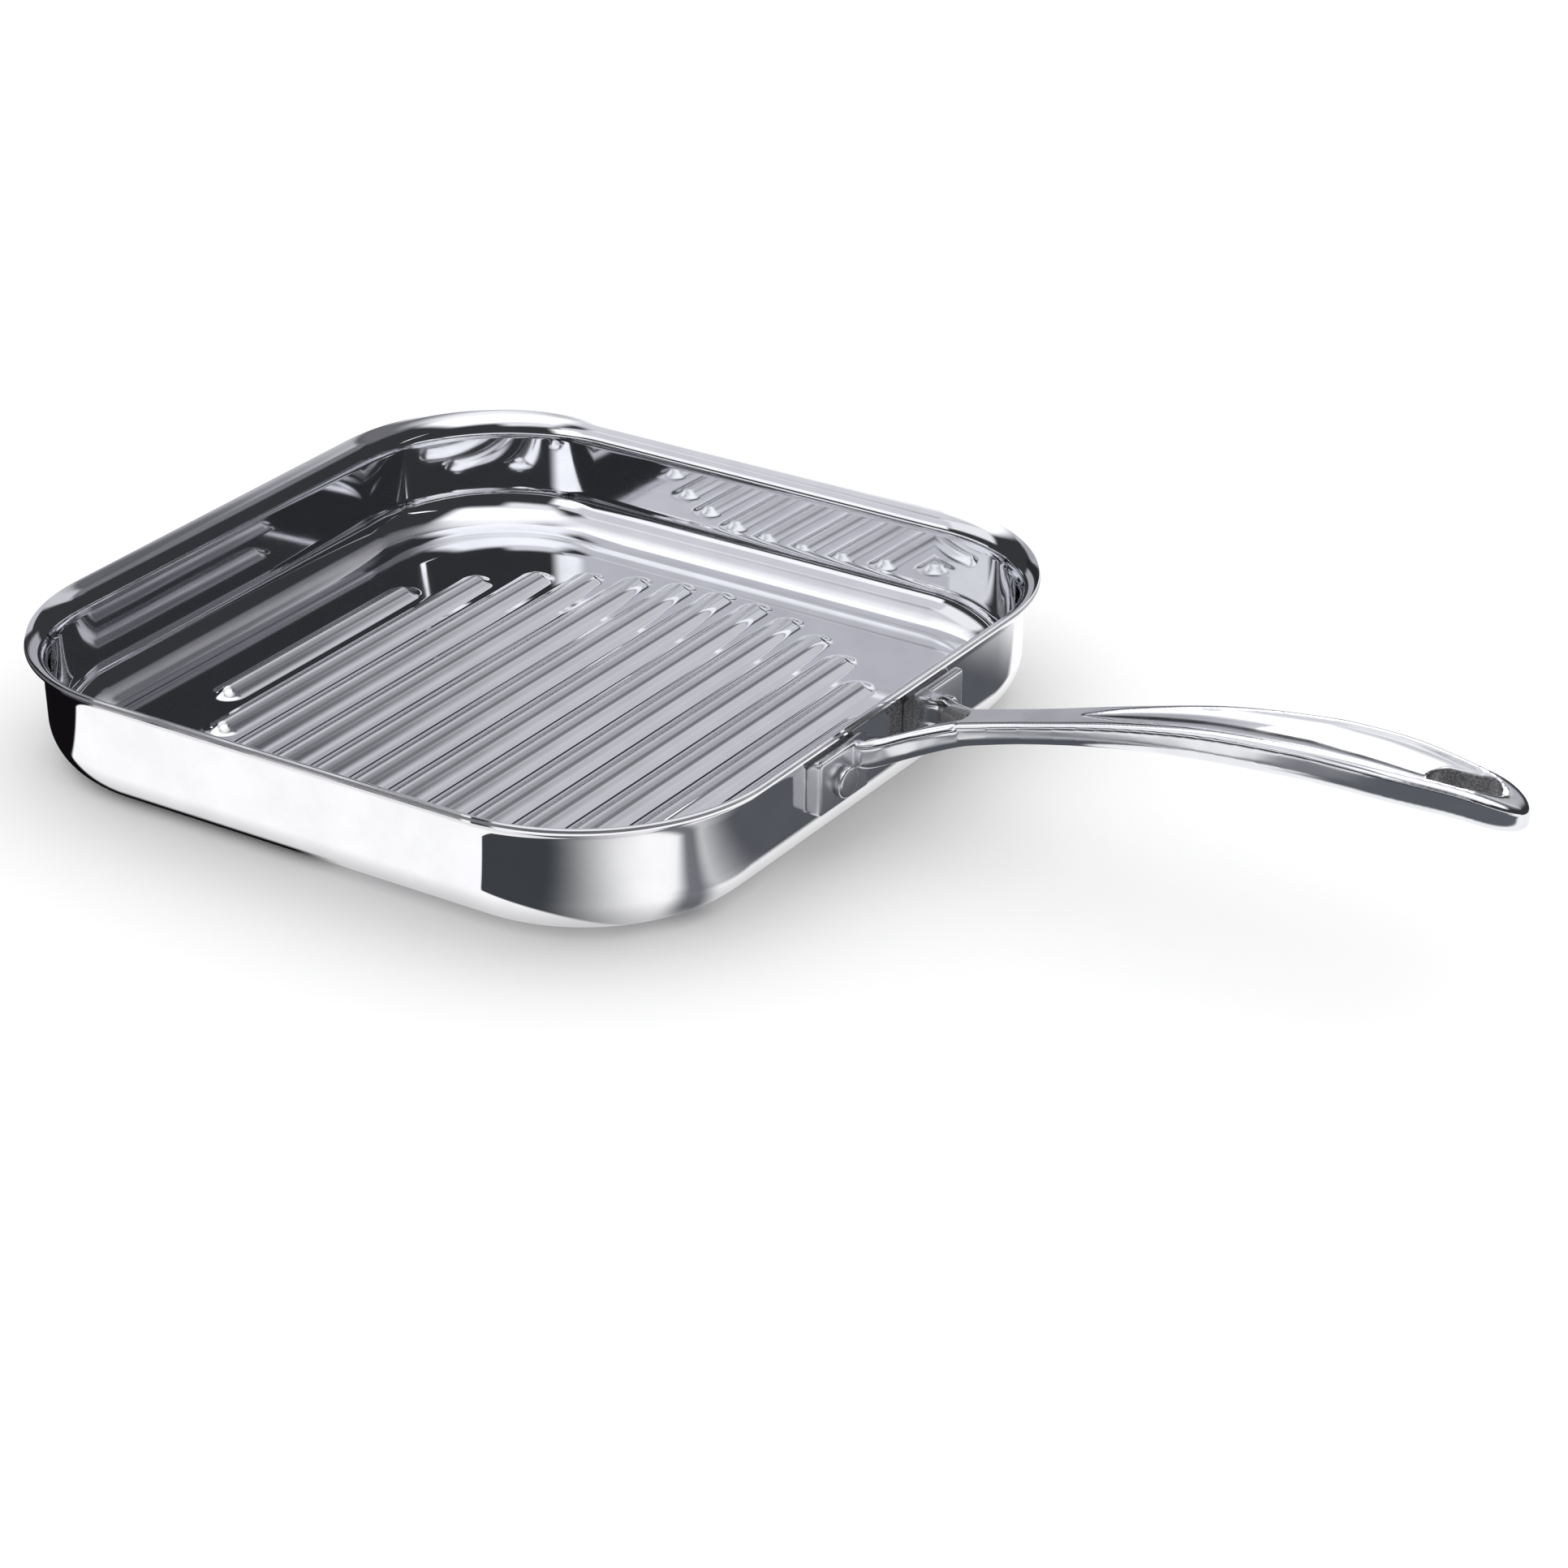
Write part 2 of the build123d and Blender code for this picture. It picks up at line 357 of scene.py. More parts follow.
def add_skin(bm, layer, face, flip):
    """One face of the sheet, floor, ribs, wall and lip. Returns its edge loop at the lip."""
    border, lip_edge = add_wall(bm, layer, face, flip)
    feet = add_ribs(bm, layer, face, flip)
    fill_floor(bm, sheet_thickness - face_depths[face], border, feet, flip)
    return lip_edge


def sheet_ply(name, first, last):
    """One ply of the sheet, between two of its faces, as a closed shell with exact normals."""
    bm = bmesh.new()
    layer = bm.verts.layers.float_vector.new("surface_normal")
    inside = add_skin(bm, layer, first, False)
    outside = add_skin(bm, layer, last, True)
    bmesh.ops.remove_doubles(bm, verts=bm.verts, dist=merge_distance)
    skin_faces = len(bm.faces)
    add_strip(bm, inside, outside, True)
    tilt = pi / 2 - radians(lip_angle)
    normals = []
    for index, face in enumerate(bm.faces):
        for loop in face.loops:
            if index < skin_faces:
                normals.append(tuple(loop.vert[layer]))
            else:
                outward = Vector(loop.vert[layer]).xy.normalized()
                if loop.vert[layer].z > 0:
                    outward = -outward
                normals.append((outward.x * cos(tilt), outward.y * cos(tilt), sin(tilt)))
    piece = new_object(name, bm)
    piece.data.attributes.remove(piece.data.attributes["surface_normal"])
    piece.data.normals_split_custom_set(normals)
    return piece


# The cast handle
def slope_at(spots, values, index):
    """Slope of a table at one of its rows, from the rows beside it."""
    low = max(index - 1, 0)
    high = min(index + 1, len(spots) - 1)
    return (values[high] - values[low]) / (spots[high] - spots[low])


def along(stations, column, share):
    """Smooth value of one column of a station table at a share of the reach."""
    spots = [row[0] for row in stations]
    values = [row[column] for row in stations]
    last = min(max(bisect(spots, share), 1), len(spots) - 1)
    first = last - 1
    step = spots[last] - spots[first]
    t = (share - spots[first]) / step
    rise = (3 * t**2 - 2 * t**3) * (values[last] - values[first])
    out = (t**3 - 2 * t**2 + t) * step * slope_at(spots, values, first)
    back = (t**3 - t**2) * step * slope_at(spots, values, last)
    return values[first] + rise + out + back


def dish_drop(share, side):
    """How far the thumb dish lies under the grip's top at a distance from its middle."""
    if not dish_station_shares[0][0] < share < dish_station_shares[-1][0]:
        return 0.0
    half = dish_width / 2 * along(dish_station_shares, 1, share)
    depth = dish_depth * along(dish_station_shares, 2, share)
    if abs(side) >= half:
        return 0.0
    return depth * sqrt(1 - (side / half) ** 2)


def rounded_outline(width, height, top_round, bottom_round, top_steps):
    """Outline of a section about its middle, clockwise from the middle of its top."""
    half, up = width / 2, height / 2
    points = []
    for index in range(top_steps):
        points.append(((half - top_round) * index / top_steps, up))
    for index in range(round_steps + 1):
        angle = pi / 2 * (1 - index / round_steps)
        ca, sa = cos(angle), sin(angle)
        points.append((half - top_round + top_round * ca, up - top_round + top_round * sa))
    for index in range(round_steps + 1):
        angle = -pi / 2 * index / round_steps
        ca, sa = cos(angle), sin(angle)
        points.append((half - bottom_round + bottom_round * ca, bottom_round - up + bottom_round * sa))
    mirrored = [(-y, z) for y, z in points[:0:-1]]
    return points + [(0.0, -up)] + mirrored


def grip_outline(share, width_factor, thickness_factor):
    """One section of the grip, dish and all, as y and z."""
    width = grip_width * along(grip_station_shares, 2, share) * width_factor
    full_thickness = grip_thickness * along(grip_station_shares, 3, share)
    thickness = full_thickness * thickness_factor
    rise = pad_top + handle_rise * along(grip_station_shares, 1, share)
    top_round = min(width, thickness) * grip_top_corner_share
    bottom_round = min(width, thickness) * grip_bottom_corner_share
    outline = rounded_outline(width, thickness, top_round, bottom_round, grip_top_steps)
    middle = rise - full_thickness / 2
    points = []
    for y, z in outline:
        drop = dish_drop(share, y) - (rise - (middle + z)) if z > 0 else 0.0
        points.append((y, middle + z - max(drop, 0.0)))
    return points


def loft(sections):
    """A closed mesh through sections, each a station along X and an outline of y and z."""
    bm = bmesh.new()
    loops = [[bm.verts.new((x, y, z)) for y, z in outline] for x, outline in sections]
    for lower, upper in zip(loops, loops[1:]):
        add_strip(bm, lower, upper, False)
    bm.faces.new(loops[0][::-1])
    bm.faces.new(loops[-1])
    bmesh.ops.recalc_face_normals(bm, faces=bm.faces)
    return bm


def grip_body():
    """The grip from the fork to its rounded tip."""
    start = grip_station_shares[0][0]
    sections = []
    for index in range(grip_steps):
        share = start + (nose_start_share - start) * index / (grip_steps - 1)
        sections.append((pad_front + handle_reach * share, grip_outline(share, 1, 1)))
    for index in range(1, nose_steps + 1):
        angle = radians(nose_last_angle * index / nose_steps)
        share = nose_start_share + (1 - nose_start_share) * sin(angle) / sin(radians(nose_last_angle))
        outline = grip_outline(share, cos(angle), sqrt(cos(angle)))
        sections.append((pad_front + handle_reach * share, outline))
    return loft(sections)


def leg_body(hand):
    """One fork leg, from inside its pad to inside the grip."""
    first, last = leg_station_shares[0][0], leg_station_shares[-1][0]
    sections = []
    for index in range(leg_steps + 1):
        share = first + (last - first) * index / leg_steps
        height = leg_height * along(leg_station_shares, 4, share)
        width = leg_width * along(leg_station_shares, 3, share)
        y = hand * fork_spacing / 2 * along(leg_station_shares, 1, share)
        z = pad_top + fork_rise * along(leg_station_shares, 2, share) - height / 2
        corner = leg_width * leg_corner_share
        outline = rounded_outline(width, height, corner, corner, leg_top_steps)
        outline = [(y + side, z + up) for side, up in outline]
        sections.append((pad_front + fork_reach * share, outline))
    return loft(sections)


def pad_outline(inset):
    """Outline of a pad in its wall plane, drawn in by an inset."""
    width = pad_width - 2 * inset
    height = pad_height - 2 * inset
    corner = pad_corner_radius - inset
    return rounded_outline(width, height, corner, corner, pad_top_steps)


def wall_point(side, up, out):
    """A point given along the handle's wall: to the side, up the wall and out from it."""
    return (
        rivet_x + up * draft_sin + out * draft_cos,
        side,
        rivet_height + up * draft_cos - out * draft_sin,
    )


def pad_body(hand):
    """One pad, flat on the wall, rounded in front and relieved under the lip."""
    centre_up = pad_base_height + pad_height / 2 - rivet_height
    centre_side = hand * pad_spacing / 2
    rings = [(0.0, 0.0)]
    for index in range(round_steps + 1):
        angle = pi / 2 * index / round_steps
        out = pad_thickness - pad_edge_round * (1 - sin(angle))
        rings.append((pad_edge_round * (1 - cos(angle)), out))
    bm = bmesh.new()
    loops = []
    for inset, out in rings:
        loop = []
        for side, up in pad_outline(inset):
            loop.append(bm.verts.new(wall_point(centre_side + side, centre_up + up, out)))
        loops.append(loop)
    for lower, upper in zip(loops, loops[1:]):
        add_strip(bm, lower, upper, False)
    bm.faces.new(loops[0][::-1])
    bm.faces.new(loops[-1])
    cut = bmesh.ops.bisect_plane(
        bm,
        geom=bm.verts[:] + bm.edges[:] + bm.faces[:],
        plane_co=(wall_face, 0, pad_top - pad_relief),
        plane_no=(-1, 0, 1),
        clear_outer=True,
    )
    cut_edges = [part for part in cut["geom_cut"] if isinstance(part, bmesh.types.BMEdge)]
    bmesh.ops.edgeloop_fill(bm, edges=cut_edges)
    bmesh.ops.recalc_face_normals(bm, faces=bm.faces)
    return bm


def hole_body():
    """The shape of the hanging hole, past both faces of the grip."""
    centre = pad_front + handle_reach - hole_from_tip
    radius = hole_width / 2
    straight = hole_length / 2 - radius
    bm = bmesh.new()
    loops = []
    for z in (pad_top, pad_top + handle_rise + overrun):
        loop = []
        for side in (1, -1):
            for index in range(2 * round_steps + 1):
                angle = pi * (index / (2 * round_steps) - 1 / 2)
                x = centre + side * (straight + radius * cos(angle))
                loop.append(bm.verts.new((x, side * radius * sin(angle), z)))
        loops.append(loop)
    add_strip(bm, loops[0], loops[1], False)
    bm.faces.new(loops[0][::-1])
    bm.faces.new(loops[1])
    bmesh.ops.recalc_face_normals(bm, faces=bm.faces)
    return bm


def apply_modifiers(piece):
    """Leaves a piece with the mesh that its modifiers give."""
    graph = bpy.context.evaluated_depsgraph_get()
    mesh = bpy.data.meshes.new_from_object(piece.evaluated_get(graph))
    piece.modifiers.clear()
    piece.data = mesh


def cast_handle():
    """The handle in one piece: overlapping bodies become one skin with softened joins."""
    grip = new_object("cast_handle", grip_body())
    cutter = new_object("hole_cutter", hole_body())
    hole = grip.modifiers.new("hole", "BOOLEAN")
    hole.operation = "DIFFERENCE"
    hole.solver = "EXACT"
    hole.object = cutter
    apply_modifiers(grip)
    bpy.data.objects.remove(cutter)
    joined = bmesh.new()
    joined.from_mesh(grip.data)
    for hand in (-1, 1):
        for body in (leg_body(hand), pad_body(hand)):
            bmesh.ops.scale(body, vec=(MM, MM, MM), verts=body.verts)
            part = bpy.data.meshes.new("part")
            body.to_mesh(part)
            body.free()
            joined.from_mesh(part)
            bpy.data.meshes.remove(part)
    joined.to_mesh(grip.data)
    joined.free()
    skin = grip.modifiers.new("skin", "REMESH")
    skin.mode = "VOXEL"
    skin.voxel_size = handle_voxel * MM
    skin.use_smooth_shade = True
    soft = grip.modifiers.new("soft", "SMOOTH")
    soft.factor = handle_smooth_share
    soft.iterations = handle_smooth_steps
    apply_modifiers(grip)
    grip.data.shade_smooth()
    return grip


# The rivets
def rivet_profile():
    """Radius and distance out of the wall's face along one rivet, from inside to outside."""
    radius = rivet_head_diameter / 2
    inner_top = -sheet_thickness - rivet_inner_head_height
    outer_top = pad_thickness + rivet_head_height
    inner_centre = (radius - rivet_inner_head_round, inner_top + rivet_inner_head_round)
    outer_centre = (radius - rivet_head_round, outer_top - rivet_head_round)
    inner = arc(inner_centre, rivet_inner_head_round, -pi / 2, 0, round_steps, 1)
    outer = arc(outer_centre, rivet_head_round, 0, pi / 2, round_steps, 1)
    shank = rivet_shank_diameter / 2
    under_inner = [(radius, -sheet_thickness), (shank, -sheet_thickness)]
    under_outer = [(shank, pad_thickness), (radius, pad_thickness)]
    return [p for p, _ in inner] + under_inner + under_outer + [p for p, _ in outer]


def rivets():
    """Both rivets, through the pads and the sheet."""
    bm = bmesh.new()
    for hand in (-1, 1):
        loops = []
        for radius, out in rivet_profile():
            loop = []
            for index in range(rivet_steps):
                angle = 2 * pi * index / rivet_steps
                side = hand * rivet_spacing / 2 + radius * cos(angle)
                loop.append(bm.verts.new(wall_point(side, radius * sin(angle), out)))
            loops.append(loop)
        for lower, upper in zip(loops, loops[1:]):
            add_strip(bm, lower, upper, False)
        bm.faces.new(loops[0][::-1])
        bm.faces.new(loops[-1])
    bmesh.ops.recalc_face_normals(bm, faces=bm.faces)
    return new_object("rivets", bm)


# Colours of the metals, and how far dull clouds darken them
inner_colour = (0.75, 0.755, 0.785)
outer_colour = (0.88, 0.88, 0.90)
handle_colour = (0.78, 0.785, 0.815)
core_colour = (0.42, 0.42, 0.45)
blasted_colours = ((0.20, 0.20, 0.205), (0.40, 0.40, 0.41))
dull_share = 0.94
cooking_dull_share = 0.95

# Roughness where the metal is clean and where it is dull
cooking_roughness = (0.03, 0.06)
outer_roughness = (0.03, 0.06)
cast_roughness = (0.09, 0.15)
rivet_roughness = (0.22, 0.30)
core_roughness = (0.30, 0.45)

# Roughness of the ribs' crests, from and to, of the pads' fronts and of blasted faces
satin_roughness = (0.20, 0.30)
pad_roughness = 0.30
blasted_roughness = 0.55

# Noise: turns per metre, detail, and its scale along each axis where that differs
sheet_cloud = (60.0, 4.0)
sheet_wave = (14.0, 1.0)
sheet_grain = (900.0, 3.0)
satin_cloud = (500.0, 3.0, (1, 0.2, 1))
satin_grain = (2200.0, 3.0, (1, 0.4, 1))
cast_cloud = (80.0, 4.0)
cast_wave = (40.0, 2.0)
cast_line = (1800.0, 2.0, (0.08, 1, 1))
cast_pit = (1500.0, 4.0)

# Values of the noise between which clouds and pits begin and end
cloud_range = (0.3, 0.7)
pit_range = (0.35, 0.65)

# Heights of the bumps
cooking_wave_height = 0.2
outer_wave_height = 0.15
small_wave_height = 0.02
cast_wave_height = 0.03
outer_grain_height = 0.0002
rivet_grain_height = 0.001
core_grain_height = 0.0005
satin_grain_height = 0.002
cast_line_height = 0.0008
cast_pit_height = 0.04

# Satin crests: shares of the rib's height where they start and are full, and end above the rib
satin_shares = (0.55, 0.85)
satin_end = (0.1, 2.1)

# Blasted faces of the fork: half width at the pads' front, narrowing, soft side and soft end
fork_half_width = 15.5
fork_narrowing = 0.42
fork_line_soft = 0.6
fork_fade = (-3.0, -1.5)

# Where the blasted hole and the satin pads fade out, past the hole's wall and the pads' front
hole_fade = (0.1, 0.4)
pad_fade = (0.6, 3.0)


# Materials
def node(tree, kind, **settings):
    """A shader node with its settings and unlinked input values."""
    made = tree.nodes.new(kind)
    for key, value in settings.items():
        if key.startswith("in_"):
            made.inputs[key[3:].replace("_", " ")].default_value = value
        else:
            setattr(made, key, value)
    return made


def math_node(tree, operation, *values):
    """A math node on values that are numbers or sockets."""
    made = node(tree, "ShaderNodeMath", operation=operation)
    for index, value in enumerate(values):
        if isinstance(value, (int, float)):
            made.inputs[index].default_value = value
        else:
            tree.links.new(value, made.inputs[index])
    return made.outputs["Value"]


def root_node(tree, first, second):
    """The root of the sum of two squares."""
    squares = [math_node(tree, "POWER", value, 2.0) for value in (first, second)]
    return math_node(tree, "SQRT", math_node(tree, "ADD", *squares))


def ramp_node(tree, value, start, end, low=0.0, high=1.0):
    """A soft step from one value to another between two values of its input."""
    made = node(tree, "ShaderNodeMapRange", interpolation_type="SMOOTHSTEP")
    made.inputs["From Min"].default_value = start
    made.inputs["From Max"].default_value = end
    made.inputs["To Min"].default_value = low
    made.inputs["To Max"].default_value = high
    tree.links.new(value, made.inputs["Value"])
    return made.outputs["Result"]


def blend_node(tree, share, low, high):
    """A number between two numbers or sockets."""
    made = node(tree, "ShaderNodeMix", data_type="FLOAT")
    for index, value in ((0, share), (2, low), (3, high)):
        if isinstance(value, (int, float)):
            made.inputs[index].default_value = value
        else:
            tree.links.new(value, made.inputs[index])
    return made.outputs[0]


def tone_node(tree, share, low, high):
    """A colour between two colours or sockets."""
    made = node(tree, "ShaderNodeMix", data_type="RGBA")
    for index, value in ((0, share), (6, low), (7, high)):
        if isinstance(value, tuple):
            made.inputs[index].default_value = (*value, 1)
        else:
            tree.links.new(value, made.inputs[index])
    return made.outputs[2]


def noise_node(tree, place, scale, detail, stretch=(1, 1, 1)):
    """Noise over the piece, in turns per metre, drawn out along an axis by its stretch."""
    mapped = node(tree, "ShaderNodeMapping", in_Scale=stretch)
    made = node(tree, "ShaderNodeTexNoise", in_Scale=scale, in_Detail=detail)
    tree.links.new(place, mapped.inputs["Vector"])
    tree.links.new(mapped.outputs["Vector"], made.inputs["Vector"])
    return made.outputs["Fac"]


def bump_node(tree, height, distance, under=None):
    """A bump of a height map in millimetres, over another bump."""
    made = node(tree, "ShaderNodeBump", in_Strength=1.0, in_Distance=distance * MM)
    tree.links.new(height, made.inputs["Height"])
    if under:
        tree.links.new(under, made.inputs["Normal"])
    return made.outputs["Normal"]


def shader_node(tree, share, low, high):
    """A shader between two shaders."""
    made = node(tree, "ShaderNodeMixShader")
    tree.links.new(share, made.inputs["Fac"])
    tree.links.new(low, made.inputs[1])
    tree.links.new(high, made.inputs[2])
    return made.outputs["Shader"]


def axis_nodes(tree, place):
    """The three coordinates of a place, in millimetres."""
    split = node(tree, "ShaderNodeSeparateXYZ")
    tree.links.new(place, split.inputs["Vector"])
    return [math_node(tree, "DIVIDE", split.outputs[axis], MM) for axis in "XYZ"]


def metal(name):
    """A new metal: its tree, its shader and the place on the piece."""
    material = bpy.data.materials.new(name)
    material.use_nodes = True
    tree = material.node_tree
    shader = tree.nodes["Principled BSDF"]
    shader.inputs["Metallic"].default_value = 1.0
    place = node(tree, "ShaderNodeTexCoord").outputs["Object"]
    return material, tree, shader, place


def clean_node(tree, place, cloud):
    """One where the metal is clean and nought where it is dull, in soft clouds."""
    return ramp_node(tree, noise_node(tree, place, *cloud), *cloud_range)


def dulled(colour, share):
    """A colour darkened by a share."""
    return tuple(share * channel for channel in colour)


def steel(name, colour, roughness, wave_height, grain_height):
    """Polished sheet or rivet metal: a slow wave, a fine grain and uneven gloss."""
    material, tree, shader, place = metal(name)
    clean = clean_node(tree, place, sheet_cloud)
    tone = tone_node(tree, clean, dulled(colour, dull_share), colour)
    tree.links.new(tone, shader.inputs["Base Color"])
    tree.links.new(blend_node(tree, clean, *roughness[::-1]), shader.inputs["Roughness"])
    slow = bump_node(tree, noise_node(tree, place, *sheet_wave), wave_height)
    fine = bump_node(tree, noise_node(tree, place, *sheet_grain), grain_height, slow)
    tree.links.new(fine, shader.inputs["Normal"])
    return material


def crest_mask(tree, height):
    """One on the ribs' crests and nought below and above them."""
    rib_top = sheet_thickness + rib_height
    start, full = [sheet_thickness + share * rib_height for share in satin_shares]
    above = ramp_node(tree, height, start, full)
    below = ramp_node(tree, height, rib_top + satin_end[0], rib_top + satin_end[1], 1.0, 0.0)
    return math_node(tree, "MULTIPLY", above, below)


def cooking_steel(name, colour):
    """Steel of the cooking face: mirror-bright floor and walls, satin crests with a fine grain."""
    material, tree, shader, place = metal(name)
    clean = clean_node(tree, place, sheet_cloud)
    crest = crest_mask(tree, axis_nodes(tree, place)[2])
    tone = tone_node(tree, clean, dulled(colour, cooking_dull_share), colour)
    tree.links.new(tone, shader.inputs["Base Color"])
    bright = blend_node(tree, clean, *cooking_roughness[::-1])
    satin = blend_node(tree, noise_node(tree, place, *satin_cloud), *satin_roughness)
    tree.links.new(blend_node(tree, crest, bright, satin), shader.inputs["Roughness"])
    slow = bump_node(tree, noise_node(tree, place, *sheet_wave), cooking_wave_height)
    grain = math_node(tree, "MULTIPLY", noise_node(tree, place, *satin_grain), crest)
    fine = bump_node(tree, grain, satin_grain_height, slow)
    tree.links.new(fine, shader.inputs["Normal"])
    return material


def fork_mask(tree, x, y):
    """One between the fork's legs, as far as just before the fork's end."""
    fork_end = pad_front + fork_reach
    past = math_node(tree, "SUBTRACT", x, pad_front)
    line = math_node(tree, "MULTIPLY_ADD", past, fork_narrowing, y)
    line_start, line_end = fork_half_width - fork_line_soft, fork_half_width + fork_line_soft
    between = ramp_node(tree, line, line_start, line_end, 1.0, 0.0)
    before = ramp_node(tree, x, fork_end + fork_fade[0], fork_end + fork_fade[1], 1.0, 0.0)
    return math_node(tree, "MULTIPLY", between, before)


def hole_mask(tree, x, y):
    """One on the wall of the hanging hole."""
    centre = pad_front + handle_reach - hole_from_tip
    radius = hole_width / 2
    past = math_node(tree, "ABSOLUTE", math_node(tree, "SUBTRACT", x, centre))
    past = math_node(tree, "SUBTRACT", past, hole_length / 2 - radius)
    away = root_node(tree, math_node(tree, "MAXIMUM", past, 0.0), y)
    return ramp_node(tree, away, radius + hole_fade[0], radius + hole_fade[1], 1.0, 0.0)


def cast_metal(name, colour):
    """Cast steel: polished outside, shot-blasted between the fork's legs and in the hole."""
    material, tree, shader, place = metal(name)
    x, y, _ = axis_nodes(tree, place)
    y = math_node(tree, "ABSOLUTE", y)
    blasted = math_node(tree, "MAXIMUM", fork_mask(tree, x, y), hole_mask(tree, x, y))
    clean = clean_node(tree, place, cast_cloud)
    polished = tone_node(tree, clean, dulled(colour, dull_share), colour)
    pits = noise_node(tree, place, *cast_pit)
    raw = tone_node(tree, ramp_node(tree, pits, *pit_range), *blasted_colours)
    tree.links.new(tone_node(tree, blasted, polished, raw), shader.inputs["Base Color"])
    smooth = blend_node(tree, clean, *cast_roughness[::-1])
    past_pad = ramp_node(tree, x, pad_front + pad_fade[0], pad_front + pad_fade[1])
    smooth = blend_node(tree, past_pad, pad_roughness, smooth)
    rough = blend_node(tree, blasted, smooth, blasted_roughness)
    tree.links.new(rough, shader.inputs["Roughness"])
    slow = bump_node(tree, noise_node(tree, place, *cast_wave), cast_wave_height)
    fine = bump_node(tree, noise_node(tree, place, *cast_line), cast_line_height, slow)
    grit = math_node(tree, "MULTIPLY", pits, blasted)
    tree.links.new(bump_node(tree, grit, cast_pit_height, fine), shader.inputs["Normal"])
    return material


inner_steel = cooking_steel("inner_steel", inner_colour)
outer_steel = steel(
    "outer_steel", outer_colour, outer_roughness, outer_wave_height, outer_grain_height
)
cast_steel = cast_metal("cast_steel", handle_colour)
rivet_steel = steel(
    "rivet_steel", handle_colour, rivet_roughness, small_wave_height, rivet_grain_height
)
core_metal = steel(
    "core_metal", core_colour, core_roughness, small_wave_height, core_grain_height
)

finish_piece(sheet_ply("cooking_sheet", 0, 1), "cooking_steel", inner_steel, "pan_inner_ply")
finish_piece(sheet_ply("core_sheet", 1, 2), "core_aluminium", core_metal, "pan_core")
finish_piece(sheet_ply("outer_sheet", 2, 3), "outer_steel", outer_steel, "pan_outer_ply")
finish_piece(cast_handle(), "handle_steel", cast_steel, "handle")
finish_piece(rivets(), "rivet_steel", rivet_steel, "handle_rivets")


# Camera of the photograph: place and clip range in metres, lens and film in millimetres
camera_place = (0.84136, -1.10843, 0.67626)
camera_azimuth = radians(33.86)
camera_elevation = radians(26.86)
camera_roll = radians(-0.52)
camera_lens = 105.1
camera_film = 36.0
camera_clip_start = 0.05
camera_clip_end = 50.0


def photo_camera():
    """The camera, placed and turned as for the photograph."""
    level = cos(camera_elevation)
    back = Vector((
        sin(camera_azimuth) * level,
        -cos(camera_azimuth) * level,
        sin(camera_elevation),
    ))
    level_right = Vector((cos(camera_azimuth), sin(camera_azimuth), 0))
    level_up = back.cross(level_right)
    right = cos(camera_roll) * level_right + sin(camera_roll) * level_up
    up = cos(camera_roll) * level_up - sin(camera_roll) * level_right
    turn = Matrix((right, up, back)).transposed().to_4x4()
    data = bpy.data.cameras.new("camera")
    data.lens = camera_lens
    data.sensor_width = camera_film
    data.clip_start = camera_clip_start
    data.clip_end = camera_clip_end
    camera = bpy.data.objects.new("camera", data)
    camera.matrix_world = Matrix.Translation(camera_place) @ turn
    bpy.context.scene.collection.objects.link(camera)
    bpy.context.scene.camera = camera


photo_camera()


# Painted shade on the floor where the steel mirrors it, as dark patches: turn, from and to along it,
# from and to across it, softness of both, tone
floor_shade_patches = (
    (0, -700, 900, -900, -225, 20, 18, (0.06, 0.06, 0.07)),
    (0, 120, 215, -100, -84, 8, 6, (0.22, 0.225, 0.245)),
    (0, 208, 330, -155, -84, 8, 8, (0.22, 0.225, 0.245)),
    (0, 252, 560, -400, -45, 14, 16, (0.13, 0.135, 0.155)),
    (0, 140, 196, -80, 137, 3, 38, (0.10, 0.105, 0.12)),
    (32.8, -480, -152, -47, 160, 2, 1.5, (0.006, 0.005, 0.006)),
    (0, -150, 5, -129, -90, 12, 1.5, (0.006, 0.005, 0.006)),
)

# Curved patch of painted shade that the front corner mirrors: edge, its lean, fade in degrees, inner
# reach, tone
corner_shade_edge = (137.8, 139.2)
corner_shade_lean = 0.5
corner_shade_fade = (-74.0, -28.0)
corner_shade_reach = (28.5, 31.0)
corner_shade_draw_in = 0.5
corner_shade_tone = (0.05, 0.056, 0.062)

# White paper as the steel mirrors it, and the share of it that is left close to the pan under a
# painted contact shadow
paper_tone = (1.12, 1.12, 1.12)
contact_shadow_reach = (48.0, 76.0)
contact_shadow_share = 0.55

# The floor, its radius in metres and the distances in metres where it turns to plain white
floor_colour = (0.8, 0.8, 0.8)
floor_roughness = 0.9
floor_segments = 96
floor_reach = 8.0
floor_white_range = (0.45, 0.9)


# Floor
def window_node(tree, value, low, high, soft):
    """One between two values of its input and nought outside them, with soft edges."""
    start = ramp_node(tree, value, low - soft, low + soft)
    end = ramp_node(tree, value, high - soft, high + soft, 1.0, 0.0)
    return math_node(tree, "MULTIPLY", start, end)


def turned_node(tree, x, y, turn):
    """A place on the floor along an axis turned by degrees from +X, and across it."""
    ct, st = cos(radians(turn)), sin(radians(turn))
    length = math_node(tree, "MULTIPLY_ADD", x, ct, math_node(tree, "MULTIPLY", y, st))
    across = math_node(tree, "MULTIPLY_ADD", y, ct, math_node(tree, "MULTIPLY", x, -st))
    return length, across


def pan_reach(tree, x, y):
    """Distance on the floor from the square between the middles of the pan's corners."""
    past = []
    for value in (x, y):
        over = math_node(tree, "SUBTRACT", math_node(tree, "ABSOLUTE", value), corner_x)
        past.append(math_node(tree, "MAXIMUM", over, 0.0))
    return root_node(tree, *past)


